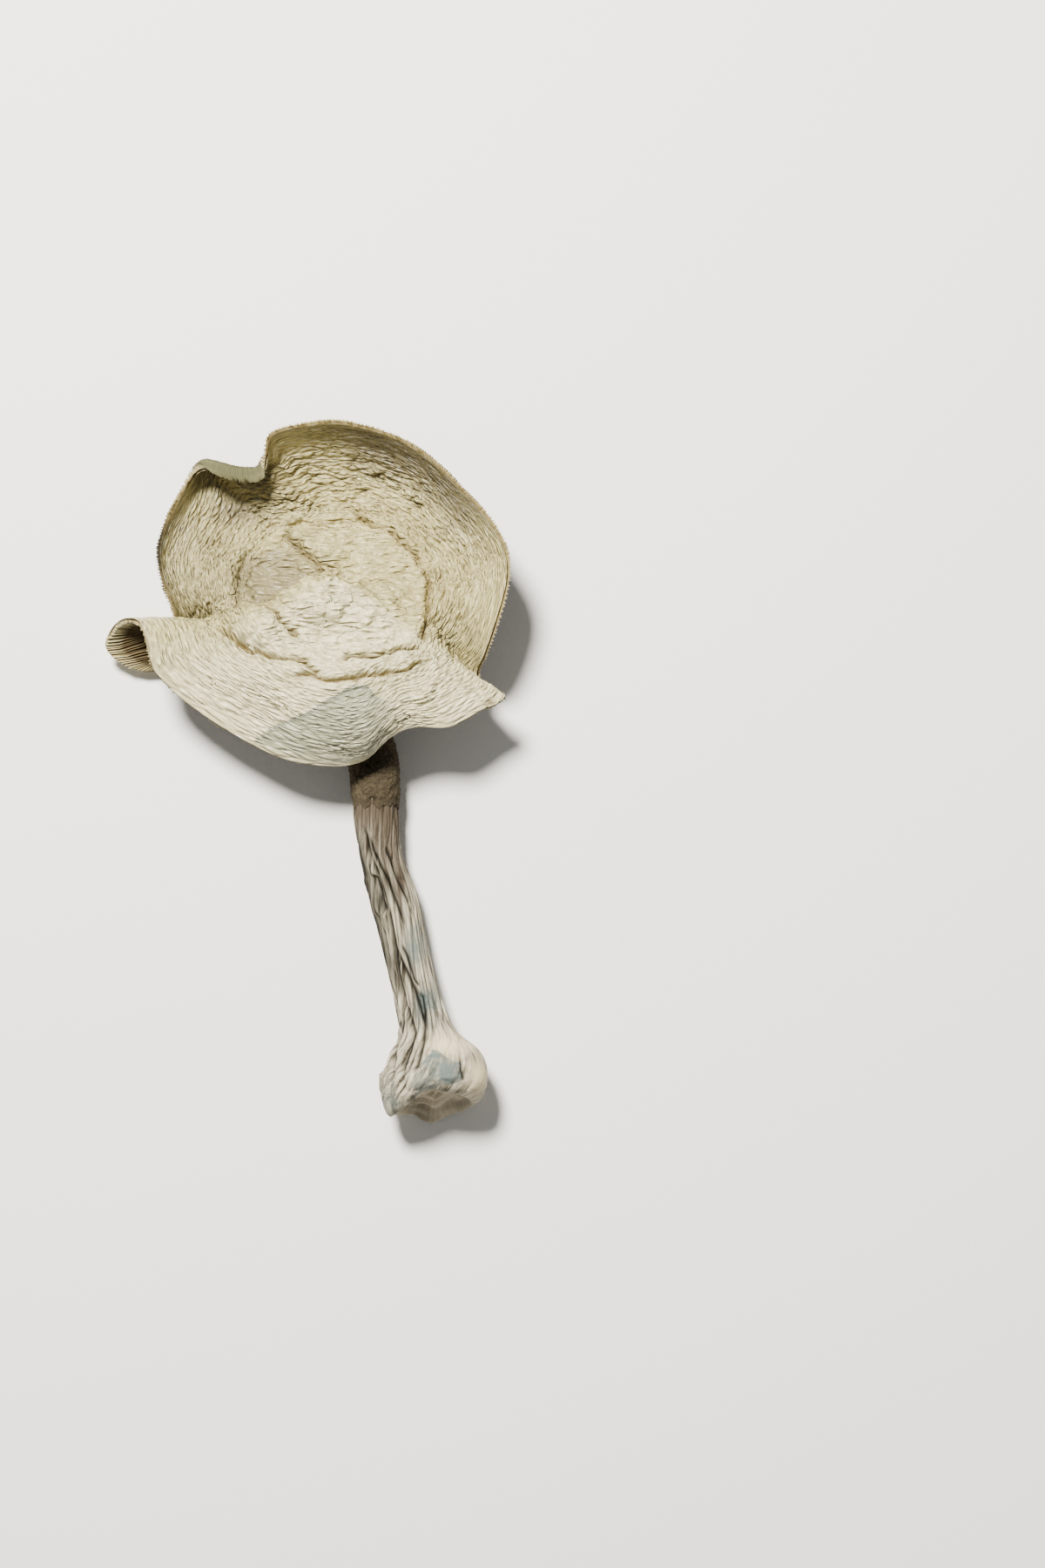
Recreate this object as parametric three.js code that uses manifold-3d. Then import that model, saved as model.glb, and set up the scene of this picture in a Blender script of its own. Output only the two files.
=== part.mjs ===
// A dried magic mushroom lying on its side: an upturned, folded cap on a bent stem with a swollen foot.
// Millimetres, +Z up. The stem points towards -Y and the cap's dish opens upwards.
import * as THREE from 'three';
import { mergeVertices } from 'three/addons/utils/BufferGeometryUtils.js';
import Module from 'manifold-3d';

const wasm = await Module();
wasm.setup();

// Driving dimensions.
const DISC_CENTRE = [5.5, 31.6, 12.5];  // middle of the cap's flat disc
const DISC_HALF_WIDTH = 15.8;
const DISC_HALF_LENGTH = 12.4;
const DISC_SLOPE = 0.62;                // the disc drops this much per millimetre towards +Y
const DISC_SHARE = 0.4;                 // part of the way from the centre to the rim that is disc
const ROOT_REACH = 7.5;                 // how far the wall goes on in the disc's plane before it turns
const FLESH_AT_RIM = 0.8;
const FLESH_AT_DISC = 3.0;
const GILL_DEPTH = 1.5;
const GILL_START = 0.36;                // the gills start here, as a share of the way to the rim
const GILL_END = 0.97;
const GAP = 0.3;                        // air between neighbouring pieces
const VEIL_THICKNESS = 0.8;
const SKIN_COLUMNS = 100;
const SECTORS = 20;
const DISC_RINGS = 2;
const WALL_RINGS = 8;
const GILL_RINGS = 7;
const STEM_SIDES = 20;
const STEM_STEPS = 40;

// Stations round the cap's rim, counter-clockwise from +X:
// [growth angle, angle at the disc's edge, x, y, z, elevation of the sheet as it reaches the rim].
const RIM = [
  [0, 0, 34.5, 32.5, 20, 65],
  [10, 9, 34.2, 38, 20, 70],
  [20, 19, 31.5, 43, 20, 75],
  [32, 31, 26.5, 48.5, 19, 80],
  [45, 44, 20.5, 54.2, 18, 80],
  [58, 57, 14, 57.8, 17, 78],
  [72, 72, 6, 59.8, 16, 75],
  [85, 86, -0.5, 59.3, 15.5, 75],
  [93, 95, -5.6, 57.8, 15, 75],
  // The margin folds inwards and its edge points back down into the dish.
  [98, 100, -6.3, 54.6, 13, 95],
  [104, 106, -7, 50.6, 13.5, 170],
  [114, 115, -10.5, 50.2, 14, 200],
  [123, 124, -14.5, 51.3, 14, 190],
  [131, 132, -17.8, 51.8, 13.5, 120],
  [140, 142, -20.8, 48, 14, 85],
  [150, 152, -23.6, 42.5, 14.5, 80],
  [160, 162, -24.6, 37.5, 15, 85],
  [170, 172, -23.4, 32, 15, 92],
  [178, 181, -22, 27.5, 12.5, 80],
  // The pleat: a valley hidden below the front sheet, then a lobe that shows its gills.
  [184, 185, -22.3, 23.5, 8, 50],
  [190, 189.5, -23.5, 19.5, 4.5, 25],
  [195, 192, -27, 17.8, 3, 5],
  [200, 194, -31.4, 18.7, 3, 10],
  [206, 196, -35, 22, 5, 20],
  [211, 198, -33.2, 25.6, 9, 40],
  [216, 201, -30.3, 26.8, 13, 40],
  [221, 204, -27.8, 25.6, 16.5, 20],
  // The front sheet runs out flat and rolls down over the stem.
  [227, 211, -26.6, 21.5, 17.5, 10],
  [233, 219, -25.3, 17.3, 17, 0],
  [243, 232, -19.3, 11.6, 16, -5],
  [254, 247, -10.9, 6.1, 15.5, -10],
  [265, 261, -3, 2.4, 15.5, -25],
  [275, 274, 5, 1.3, 15, -45],
  [284, 284, 10.5, 2.4, 15, -60],
  [292, 293, 14.9, 6.3, 17, -60],
  [300, 301, 19, 7.9, 18, -40],
  [309, 309, 25, 8, 18, -20],
  // The small twisted tip, and the valley behind it.
  [318, 316, 30.5, 11, 17, -10],
  [324, 320, 33, 12, 16, 0],
  [329, 323, 34.3, 13.6, 15.5, 10],
  [334, 327, 31.8, 15, 13.5, 10],
  [340, 333, 29.5, 17, 11, 25],
  [347, 343, 30.8, 20.5, 16, 55],
  [353, 351, 32.6, 25.5, 19, 62],
];

// The stem's centre line from the cap to the foot: [x, y, z, half width, half height].
const STEM = [
  [7, 31, 9.6, 3.4, 3.4],
  [7.5, 27, 7.2, 3.8, 3.8],
  [8.3, 21, 6.3, 3.9, 3.7],
  [9.3, 14.5, 6.3, 3.8, 3.6],
  [10.4, 7, 6.3, 3.7, 3.4],
  [11.5, 0, 6.2, 3.6, 3.4],
  [12.1, -8.5, 6, 3.8, 3.4],
  [13, -15, 5.8, 3.5, 3.2],
  [15.1, -22, 5.9, 4, 3.4],
  [17.2, -31, 6.4, 3.7, 3.4],
  [19.2, -39, 7.2, 3.9, 3.7],
  [20.5, -44.5, 7.9, 4.8, 4.7],
  [21.1, -47.6, 8.3, 7, 6.9],
  [21.7, -50.6, 8.6, 9, 8.4],
  [21.8, -53.6, 8.7, 9.1, 8.8],
  [21.6, -56.4, 8.6, 8.6, 8.2],
  [21.2, -58.6, 8.5, 7.2, 6.7],
];
const FOOT_DIMPLE = 1.6;                // depth of the hollow in the foot's end
const FLUTES = 5;                       // shallow lengthwise folds of the dried stem
const FLUTE_DEPTH = 0.28;
const VEIL_FROM = 0.25;                 // the veil's sleeve, as shares of the stem's stations
const VEIL_TO = 0.345;
const VEIL_FLARE = 1.1;                 // how far the sleeve's upper edge stands off the stem

const DEGREE = Math.PI / 180;

// Catmull-Rom value of one column of a station list at key k; a closed list repeats every 360 degrees.
function spline(stations, keys, column, k, closed) {
  const count = stations.length;
  const turn = column === 1 && closed ? 360 : 0;
  const wrap = (i) => {
    const end = Math.min(Math.max(i, 0), count - 1);
    if (!closed) return [keys[end], stations[end][column]];
    const lap = Math.floor(i / count);
    return [keys[i - lap * count] + 360 * lap, stations[i - lap * count][column] + turn * lap];
  };
  let i = 0;
  while (i < count - 1 && keys[i + 1] <= k) i += 1;
  const [k0, v0] = wrap(i - 1);
  const [k1, v1] = wrap(i);
  const [k2, v2] = wrap(i + 1);
  const [k3, v3] = wrap(i + 2);
  const span = k2 - k1 || 1;
  const t = (k - k1) / span;
  const m1 = ((v2 - v0) / (k2 - k0)) * span;
  const m2 = ((v3 - v1) / (k3 - k1 || 1)) * span;
  const t2 = t * t;
  const t3 = t2 * t;
  return (2 * t3 - 3 * t2 + 1) * v1 + (t3 - 2 * t2 + t) * m1 + (3 * t2 - 2 * t3) * v2 + (t3 - t2) * m2;
}

function smooth(low, high, x) {
  const t = Math.min(Math.max((x - low) / (high - low), 0), 1);
  return t * t * (3 - 2 * t);
}

const RIM_KEYS = RIM.map((station) => station[0]);
const rimValue = (column, growth) => spline(RIM, RIM_KEYS, column, growth, true);

// A point of the cap's skin: growth is the angle round the cap in degrees,
// out is 0 at the centre and 1 at the rim.
function skinPoint(growth, out) {
  const g = ((growth % 360) + 360) % 360;
  const angle = rimValue(1, g) * DEGREE;
  const centre = new THREE.Vector3(...DISC_CENTRE);
  const across = DISC_HALF_WIDTH * Math.cos(angle);
  const along = DISC_HALF_LENGTH * Math.sin(angle);
  const spoke = new THREE.Vector3(across, along, -DISC_SLOPE * along);
  if (out < DISC_SHARE) return centre.addScaledVector(spoke, out / DISC_SHARE);
  const rim = new THREE.Vector3(rimValue(2, g), rimValue(3, g), rimValue(4, g));
  const lean = rimValue(5, g) * DEGREE;
  const flat = rim.clone().sub(centre).setZ(0).normalize();
  const arrival = flat.multiplyScalar(Math.cos(lean)).setZ(Math.sin(lean));
  const root = centre.clone().add(spoke);
  const span = rim.distanceTo(root);
  const first = root.clone().addScaledVector(spoke.normalize(), Math.min(0.4 * span, ROOT_REACH));
  const second = rim.clone().addScaledVector(arrival, -0.45 * span);
  const wall = new THREE.CubicBezierCurve3(root, first, second, rim);
  return wall.getPoint((out - DISC_SHARE) / (1 - DISC_SHARE));
}

function skinNormal(growth, out) {
  const o = Math.min(Math.max(out, 0.02), 0.99);
  const round = skinPoint(growth + 1.5, o).sub(skinPoint(growth - 1.5, o));
  const outward = skinPoint(growth, o + 0.01).sub(skinPoint(growth, o - 0.01));
  return outward.cross(round).normalize();
}

// 1 inside the pleat on the cap's left, 0 elsewhere; the sheets lie close together there.
function pleatShare(growth, out) {
  return smooth(182, 192, growth) * (1 - smooth(222, 236, growth)) * smooth(0.35, 0.6, out);
}

// Flesh depth under the skin: thick on the disc, thin at the rim and thinner still in the pleat.
function fleshDepth(growth, out) {
  const pleat = pleatShare(growth, out);
  const disc = 1 - smooth(0.3, 0.72, out);
  return FLESH_AT_RIM * (1 - 0.2 * pleat) + (FLESH_AT_DISC - FLESH_AT_RIM) * disc * (1 - 0.5 * pleat);
}

function gillDepth(growth, out) {
  const pleat = pleatShare(growth, out);
  const ends = smooth(GILL_START, 0.5, out) * (1 - 0.6 * smooth(0.75, GILL_END, out));
  return 0.25 + (GILL_DEPTH - 0.25) * ends * (1 - 0.5 * pleat);
}

function toSolid(points, faces) {
  const vertProperties = new Float32Array(points.flatMap((p) => [p.x, p.y, p.z]));
  const triVerts = new Uint32Array(faces.flat());
  return new wasm.Manifold(new wasm.Mesh({ numProp: 3, vertProperties, triVerts }));
}

// A piece of a cap sheet between two depths below the skin and between two columns.
// A whole turn closes on itself; from out 0 the piece is a dish and must be a whole turn.
function sector(top, bottom, from, to, rings, first, count) {
  const points = [];
  const faces = [];
  const put = (growth, out, depth) => {
    const lowered = skinPoint(growth, out).addScaledVector(skinNormal(growth, out), -depth(growth, out));
    return points.push(lowered) - 1;
  };
  const quad = (a, b, c, d) => {
    if (a !== b) faces.push([a, b, c]);
    if (c !== d) faces.push([a, c, d]);
  };
  const whole = count === SKIN_COLUMNS;
  const crown = from === 0 ? { upper: put(0, 0, top), lower: put(0, 0, bottom) } : null;
  const edges = [];
  for (let c = 0; c < count + (whole ? 0 : 1); c += 1) {
    const growth = (360 * ((first + c) % SKIN_COLUMNS)) / SKIN_COLUMNS;
    const edge = { upper: crown ? [crown.upper] : [], lower: crown ? [crown.lower] : [] };
    for (let r = crown ? 1 : 0; r <= rings; r += 1) {
      const out = from + ((to - from) * r) / rings;
      edge.upper.push(put(growth, out, top));
      edge.lower.push(put(growth, out, bottom));
    }
    edges.push(edge);
  }
  for (let c = 0; c < count; c += 1) {
    const here = edges[c];
    const next = edges[(c + 1) % edges.length];
    for (let r = 0; r < rings; r += 1) {
      quad(next.upper[r + 1], next.upper[r], here.upper[r], here.upper[r + 1]);
      quad(here.lower[r + 1], here.lower[r], next.lower[r], next.lower[r + 1]);
    }
    quad(here.upper[rings], here.lower[rings], next.lower[rings], next.upper[rings]);
    if (!crown) quad(here.lower[0], here.upper[0], next.upper[0], next.lower[0]);
  }
  if (!whole) {
    const here = edges[0];
    const next = edges[count];
    for (let r = 0; r < rings; r += 1) {
      quad(here.upper[r + 1], here.upper[r], here.lower[r], here.lower[r + 1]);
      quad(next.upper[r + 1], next.lower[r + 1], next.lower[r], next.upper[r]);
    }
  }
  return toSolid(points, faces);
}

// A whole sheet between two depths below the skin: a dish from out 0, otherwise a ring.
// It is joined from sectors, so that folded layers that touch become one.
function sheet(top, bottom, from, to, rings) {
  const pieces = [];
  let start = from;
  let left = rings;
  if (from === 0) {
    start = (to * DISC_RINGS) / rings;
    left = rings - DISC_RINGS;
    pieces.push(sector(top, bottom, 0, start, DISC_RINGS, 0, SKIN_COLUMNS));
  }
  const width = SKIN_COLUMNS / SECTORS;
  for (let c = 0; c < SKIN_COLUMNS; c += width) pieces.push(sector(top, bottom, start, to, left, c, width));
  return wasm.Manifold.union(pieces);
}

const STEM_KEYS = STEM.map((station, i) => i / (STEM.length - 1));
const stemValue = (column, s) => spline(STEM, STEM_KEYS, column, s, false);

function stemFrame(s) {
  const at = (t) => new THREE.Vector3(stemValue(0, t), stemValue(1, t), stemValue(2, t));
  const tangent = at(Math.min(s + 0.01, 1)).sub(at(Math.max(s - 0.01, 0))).normalize();
  const side = new THREE.Vector3(0, 0, 1).cross(tangent).normalize();
  return { middle: at(s), side, up: tangent.clone().cross(side), tangent };
}

// A closed rod round the stem's line, swollen by extra(s); its far end is hollowed by dimple.
function rod(from, to, extra, steps, dimple) {
  const points = [];
  const faces = [];
  for (let i = 0; i <= steps; i += 1) {
    const s = from + ((to - from) * i) / steps;
    const { middle, side, up } = stemFrame(s);
    for (let k = 0; k < STEM_SIDES; k += 1) {
      const angle = (2 * Math.PI * k) / STEM_SIDES;
      const flute = FLUTE_DEPTH * Math.cos(FLUTES * (angle + 1.2 * s));
      const wide = stemValue(3, s) + extra(s) - flute;
      const high = stemValue(4, s) + extra(s) - flute;
      const p = middle.clone().addScaledVector(side, wide * Math.cos(angle));
      points.push(p.addScaledVector(up, high * Math.sin(angle)));
    }
  }
  const head = points.push(stemFrame(from).middle) - 1;
  const foot = points.push(stemFrame(to).middle.addScaledVector(stemFrame(to).tangent, -dimple)) - 1;
  const lastRow = steps * STEM_SIDES;
  for (let k = 0; k < STEM_SIDES; k += 1) {
    const n = (k + 1) % STEM_SIDES;
    for (let i = 0; i < steps; i += 1) {
      const a = i * STEM_SIDES;
      faces.push([a + k, a + n, a + STEM_SIDES + n], [a + k, a + STEM_SIDES + n, a + STEM_SIDES + k]);
    }
    faces.push([head, n, k], [foot, lastRow + k, lastRow + n]);
  }
  return toSolid(points, faces);
}

// Keeps the biggest body of a cut solid and drops slivers and crumbs.
function mainBody(solid) {
  return solid.simplify(0.004).decompose().sort((a, b) => b.volume() - a.volume())[0];
}

// The floor that the mushroom lies on; what would sink into it is pressed flat.
function floorBlock() {
  const box = new THREE.BoxGeometry(200, 200, 20).translate(0, 0, -10);
  box.deleteAttribute('normal');
  box.deleteAttribute('uv');
  const merged = mergeVertices(box);
  const triVerts = new Uint32Array(merged.index.array);
  const vertProperties = new Float32Array(merged.attributes.position.array);
  return new wasm.Manifold(new wasm.Mesh({ numProp: 3, vertProperties, triVerts }));
}

function toMesh(name, solid, colour, roughness) {
  const { vertProperties, triVerts } = solid.getMesh();
  const geometry = new THREE.BufferGeometry();
  geometry.setAttribute('position', new THREE.BufferAttribute(new Float32Array(vertProperties), 3));
  geometry.setIndex(new THREE.BufferAttribute(new Uint32Array(triVerts), 1));
  geometry.computeVertexNormals();
  const material = new THREE.MeshStandardMaterial({ color: colour, roughness, metalness: 0 });
  const mesh = new THREE.Mesh(geometry, material);
  mesh.name = name;
  return mesh;
}

const skinRings = DISC_RINGS + WALL_RINGS;
const floor = floorBlock();

// Cap: one sheet of flesh with its skin on the upper side.
function makeFlesh() {
  return mainBody(sheet(() => 0, fleshDepth, 0, 1, skinRings).subtract(floor));
}

// The room that the flesh and the air gap round it take up. The gap is pinched in the tight pleat,
// so the flesh itself is added, moved a little to all sides.
function capRoom(flesh) {
  const parts = [sheet(() => -GAP, (g, out) => fleshDepth(g, out) + GAP, 0, 1, skinRings)];
  for (const move of [-GAP / 3, GAP / 3]) {
    parts.push(flesh.translate([move, 0, 0]), flesh.translate([0, move, 0]), flesh.translate([0, 0, move]));
  }
  return wasm.Manifold.union(parts);
}

// Gills: the layer of close-set plates that hangs below the flesh.
function makeGills(room) {
  const top = (g, out) => fleshDepth(g, out) + GAP / 3;
  const bottom = (g, out) => fleshDepth(g, out) + GAP + gillDepth(g, out);
  const layer = sheet(top, bottom, GILL_START, GILL_END, GILL_RINGS);
  return toMesh('gills', mainBody(layer.subtract(room).subtract(floor)), 0x6a5f4c, 0.8);
}

function makeStem(room) {
  const shaft = rod(0, 1, () => 0, STEM_STEPS, FOOT_DIMPLE);
  return toMesh('stem', mainBody(shaft.subtract(room).subtract(floor)), 0xb5ad97, 0.7);
}

// Veil: the torn sleeve left round the stem's neck, wider towards the cap.
function makeVeil() {
  const flare = (s) => VEIL_FLARE * (1 - smooth(VEIL_FROM, VEIL_TO, s));
  const outside = rod(VEIL_FROM, VEIL_TO, (s) => GAP + VEIL_THICKNESS + flare(s), 6, 0);
  const inside = rod(VEIL_FROM - 0.05, VEIL_TO + 0.05, (s) => GAP + 0.6 * flare(s), 12, 0);
  return toMesh('veil', mainBody(outside.subtract(inside)), 0x57503e, 0.85);
}

const flesh = makeFlesh();
const room = capRoom(flesh);
const mushroom = new THREE.Group();
mushroom.add(toMesh('cap', flesh, 0xd8d2b6, 0.5), makeGills(room), makeStem(room), makeVeil());

// The origin is the middle of the footprint.
const span = new THREE.Box3().setFromObject(mushroom);
const middle = span.getCenter(new THREE.Vector3());
mushroom.position.set(-middle.x, -middle.y, 0);

export default mushroom;
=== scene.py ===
import bpy
import numpy as np
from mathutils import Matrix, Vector


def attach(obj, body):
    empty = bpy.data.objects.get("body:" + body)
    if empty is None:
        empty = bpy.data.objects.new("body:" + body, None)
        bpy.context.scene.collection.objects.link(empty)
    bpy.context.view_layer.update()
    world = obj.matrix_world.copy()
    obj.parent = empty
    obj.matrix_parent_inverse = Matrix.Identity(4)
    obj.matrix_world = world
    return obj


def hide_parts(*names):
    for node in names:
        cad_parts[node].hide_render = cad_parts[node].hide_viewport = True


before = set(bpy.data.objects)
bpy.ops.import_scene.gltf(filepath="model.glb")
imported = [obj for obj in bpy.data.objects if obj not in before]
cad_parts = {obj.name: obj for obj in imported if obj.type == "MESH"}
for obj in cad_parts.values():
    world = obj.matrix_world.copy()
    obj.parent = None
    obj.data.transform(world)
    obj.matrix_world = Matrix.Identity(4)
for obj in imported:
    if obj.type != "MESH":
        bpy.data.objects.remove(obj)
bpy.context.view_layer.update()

# ---- Light tent -----------------------------------------------------------------------------
# The mushroom lies on a plain pale board inside a soft white tent. One round panel beyond the cap
# is the brighter side; the tent itself fills the rest.
def linear(hex_colour):
    """sRGB hex to linear RGBA."""
    channels = [int(hex_colour[i:i + 2], 16) / 255 for i in (1, 3, 5)]
    return [c / 12.92 if c <= 0.04045 else ((c + 0.055) / 1.055) ** 2.4 for c in channels] + [1.0]


def add_node(tree, kind, settings=None, links=None):
    """Adds one node. Settings are properties or sockets; links give the sockets their sources."""
    node = tree.nodes.new(kind)
    for name, value in (settings or {}).items():
        if isinstance(name, str) and hasattr(node, name):
            setattr(node, name, value)
        else:
            node.inputs[name].default_value = value
    for socket, source in (links or {}).items():
        tree.links.new(source, node.inputs[socket])
    return node


def new_material(name):
    material = bpy.data.materials.new(name)
    material.use_nodes = True
    material.node_tree.nodes.clear()
    return material, material.node_tree


bpy.ops.object.select_all(action="DESELECT")
bpy.ops.mesh.primitive_plane_add(size=4)
board = bpy.context.object
board.name = "board"
# Matt white paint, brushed on: a plain, barely warm white with no gloss.
board_paint, tree = new_material("matt white paint")
shader = add_node(tree, "ShaderNodeBsdfPrincipled", {"Base Color": linear("#f4f3f0"), "Roughness": 0.9})
add_node(tree, "ShaderNodeOutputMaterial", links={"Surface": shader.outputs["BSDF"]})
board.data.materials.append(board_paint)

tent = bpy.data.worlds.new("tent")
tent.use_nodes = True
tent.node_tree.nodes["Background"].inputs["Color"].default_value = linear("#fbfaf7")
tent.node_tree.nodes["Background"].inputs["Strength"].default_value = 0.27
bpy.context.scene.world = tent

# The bright panel: a 15 cm round diffuser beyond the cap, a little to the left, aimed at the dish.
PANEL_PLACE = Vector((-0.13, 0.32, 0.6))
PANEL_TARGET = Vector((0.0, 0.02, 0.0))
panel = bpy.data.lights.new("panel_bright", "AREA")
panel.shape = "DISK"
panel.size = 0.15
panel.energy = 19
panel.color = linear("#fffaf0")[:3]
panel_holder = bpy.data.objects.new("panel_bright", panel)
panel_holder.location = PANEL_PLACE
panel_holder.rotation_euler = (PANEL_TARGET - PANEL_PLACE).to_track_quat("-Z", "Y").to_euler()
bpy.context.collection.objects.link(panel_holder)

camera = bpy.data.cameras.new("camera")
camera.lens = 92
camera.sensor_width = 36
camera.clip_start = 0.05
camera.clip_end = 20
viewer = bpy.data.objects.new("camera", camera)
viewer.location = (0.03675, -0.00233, 0.7)
bpy.context.collection.objects.link(viewer)
bpy.context.scene.camera = viewer

# ---- Cap ------------------------------------------------------------------------------------
# One sheet of flesh under a thin skin, dried leathery. It opened past flat: the back and the
# sides stand up like a hat brim and the front rolls down over the stem.
MM = 0.001
SHIFT = np.array([-0.558, -0.634, 0.0])  # from the sizes below, in mm, to the part's own origin

# Stations round the rim: growth angle, angle at the disc's edge, x, y, z, rise of the sheet there.
RIM = np.array([
    (0, 0, 34.5, 32.5, 20, 65), (10, 9, 34.2, 38, 20, 70), (20, 19, 31.5, 43, 20, 75),
    (32, 31, 26.5, 48.5, 19, 80), (45, 44, 20.5, 54.2, 18, 80), (58, 57, 14, 57.8, 17, 78),
    (72, 72, 6, 59.8, 16, 75), (85, 86, -0.5, 59.3, 15.5, 75), (93, 95, -5.6, 57.8, 15, 75),
    # The margin folds inwards and its edge points back into the dish.
    (98, 100, -6.3, 54.6, 13, 95), (104, 106, -7, 50.6, 13.5, 170), (114, 115, -10.5, 50.2, 14, 200),
    (123, 124, -14.5, 51.3, 14, 190), (131, 132, -17.8, 51.8, 13.5, 120),
    (140, 142, -20.8, 48, 14, 85), (150, 152, -23.6, 42.5, 14.5, 80), (160, 162, -24.6, 37.5, 15, 85),
    (170, 172, -23.4, 32, 15, 92), (178, 181, -22, 27.5, 12.5, 80),
    # The pleat: a valley below the front sheet, then the lobe that shows its gills.
    (184, 185, -22.3, 23.5, 8, 50), (190, 189.5, -23.5, 19.5, 4.5, 25), (195, 192, -27, 17.8, 3, 5),
    (200, 194, -31.4, 18.7, 3, 10), (206, 196, -35, 22, 5, 20), (211, 198, -33.2, 25.6, 9, 40),
    (216, 201, -30.3, 26.8, 13, 40), (221, 204, -27.8, 25.6, 16.5, 20),
    # The front sheet.
    (227, 211, -26.6, 21.5, 17.5, 10), (233, 219, -25.3, 17.3, 17, 0), (243, 232, -19.3, 11.6, 16, -5),
    (254, 247, -10.9, 6.1, 15.5, -10), (265, 261, -3, 2.4, 15.5, -25), (275, 274, 5, 1.3, 15, -45),
    (284, 284, 10.5, 2.4, 15, -60), (292, 293, 14.9, 6.3, 17, -60), (300, 301, 19, 7.9, 18, -40),
    (309, 309, 25, 8, 18, -20),
    # The twisted tip and the valley behind it.
    (318, 316, 30.5, 11, 17, -10), (324, 320, 33, 12, 16, 0), (329, 323, 34.3, 13.6, 15.5, 10),
    (334, 327, 31.8, 15, 13.5, 10), (340, 333, 29.5, 17, 11, 25), (347, 343, 30.8, 20.5, 16, 55),
    (353, 351, 32.6, 25.5, 19, 62),
])
DISC_CENTRE = np.array([5.5, 31.6, 12.5])
DISC_HALF = (15.8, 12.4)          # half width and half length of the disc, mm
DISC_SLOPE = 0.62                 # the disc drops this much per millimetre towards +Y
DISC_SHARE = 0.4                  # part of the way from the centre to the rim that is disc
ROOT_REACH = 7.5                  # how far the wall goes on in the disc's plane before it turns, mm
COLUMNS = 480
WALL_ROWS = 136
UNDER_ROWS = 12
SEAM = 192                        # growth angle of the grid's seam, hidden in the pleat
FLESH_RIM, FLESH_WALL, FLESH_DISC = 0.4, 0.85, 2.8   # thickness of the flesh, mm
DEEPEST = 0.8                     # the skin sinks at most this share of the flesh's thickness


def rim_curve(column, growth):
    """Catmull-Rom through one column of the rim's stations; the last station joins the first."""
    lap = 360 if column == 1 else 0
    keys = np.concatenate([RIM[-2:, 0] - 360, RIM[:, 0], RIM[:3, 0] + 360])
    values = np.concatenate([RIM[-2:, column] - lap, RIM[:, column], RIM[:3, column] + lap])
    g = np.mod(growth, 360)
    i = np.clip(np.searchsorted(keys, g, side="right") - 1, 1, len(keys) - 3)
    span = keys[i + 1] - keys[i]
    t = (g - keys[i]) / span
    m1 = (values[i + 1] - values[i - 1]) / (keys[i + 1] - keys[i - 1]) * span
    m2 = (values[i + 2] - values[i]) / (keys[i + 2] - keys[i]) * span
    return ((2 * t**3 - 3 * t**2 + 1) * values[i] + (t**3 - 2 * t**2 + t) * m1
            + (3 * t**2 - 2 * t**3) * values[i + 1] + (t**3 - t**2) * m2)


def unit(vectors):
    return vectors / np.maximum(np.linalg.norm(vectors, axis=-1, keepdims=True), 1e-12)


def skin_point(growth, out):
    """The cap's upper face before it wrinkled: out is 0 in the middle and 1 at the rim."""
    angle = np.radians(rim_curve(1, growth))
    across, along = DISC_HALF[0] * np.cos(angle), DISC_HALF[1] * np.sin(angle)
    spoke = np.stack([across, along, -DISC_SLOPE * along], -1)
    root = DISC_CENTRE + spoke
    rim = np.stack([rim_curve(2, growth), rim_curve(3, growth), rim_curve(4, growth)], -1)
    rise = np.radians(rim_curve(5, growth))
    flat = unit((rim - DISC_CENTRE) * (1, 1, 0))
    arrival = flat * np.cos(rise)[..., None] + np.array([0, 0, 1]) * np.sin(rise)[..., None]
    span = np.linalg.norm(rim - root, axis=-1)[..., None]
    first = root + unit(spoke) * np.minimum(0.4 * span, ROOT_REACH)
    second = rim - 0.45 * span * arrival
    t = np.clip((out - DISC_SHARE) / (1 - DISC_SHARE), 0, 1)[..., None]
    wall = (1 - t)**3 * root + 3 * (1 - t)**2 * t * first + 3 * (1 - t) * t**2 * second + t**3 * rim
    inside = DISC_CENTRE + spoke * (out / DISC_SHARE)[..., None]
    return np.where(out[..., None] < DISC_SHARE, inside, wall)


def skin_normal(growth, out):
    o = np.clip(out, 0.02, 0.99)
    round_cap = skin_point(growth + 1, o) - skin_point(growth - 1, o)
    outward = skin_point(growth, o + 0.008) - skin_point(growth, o - 0.008)
    return unit(np.cross(outward, round_cap))


def smooth(low, high, x):
    t = np.clip((x - low) / (high - low), 0, 1)
    return t * t * (3 - 2 * t)


def crumple(seed, spacing, stretch):
    """Seeded folds on a repeating tile: spacing mm apart, stretch times longer than wide."""
    wave_x = 2 * np.pi * np.fft.fftfreq(TILE[0], CELL)[:, None]
    wave_y = 2 * np.pi * np.fft.rfftfreq(TILE[1], CELL)[None, :]
    band = np.hypot(wave_x * stretch, wave_y) * spacing / (2 * np.pi)
    noise = np.random.RandomState(seed).normal(0, 1, TILE)
    field = np.fft.irfft2(np.fft.rfft2(noise) * np.exp(-((band - 1) / 0.42)**2), s=TILE)
    return field / field.std()


def drift(seed, size):
    """Smooth seeded noise on the same tile, about -1 to 1, with blots of the given size in mm."""
    wave_x = 2 * np.pi * np.fft.fftfreq(TILE[0], CELL)[:, None]
    wave_y = 2 * np.pi * np.fft.rfftfreq(TILE[1], CELL)[None, :]
    soft = np.exp(-(wave_x**2 + wave_y**2) * (size / 3)**2 / 2)
    noise = np.random.RandomState(seed).normal(0, 1, TILE)
    field = np.fft.irfft2(np.fft.rfft2(noise) * soft, s=TILE)
    return field / (2.2 * field.std())


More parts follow.
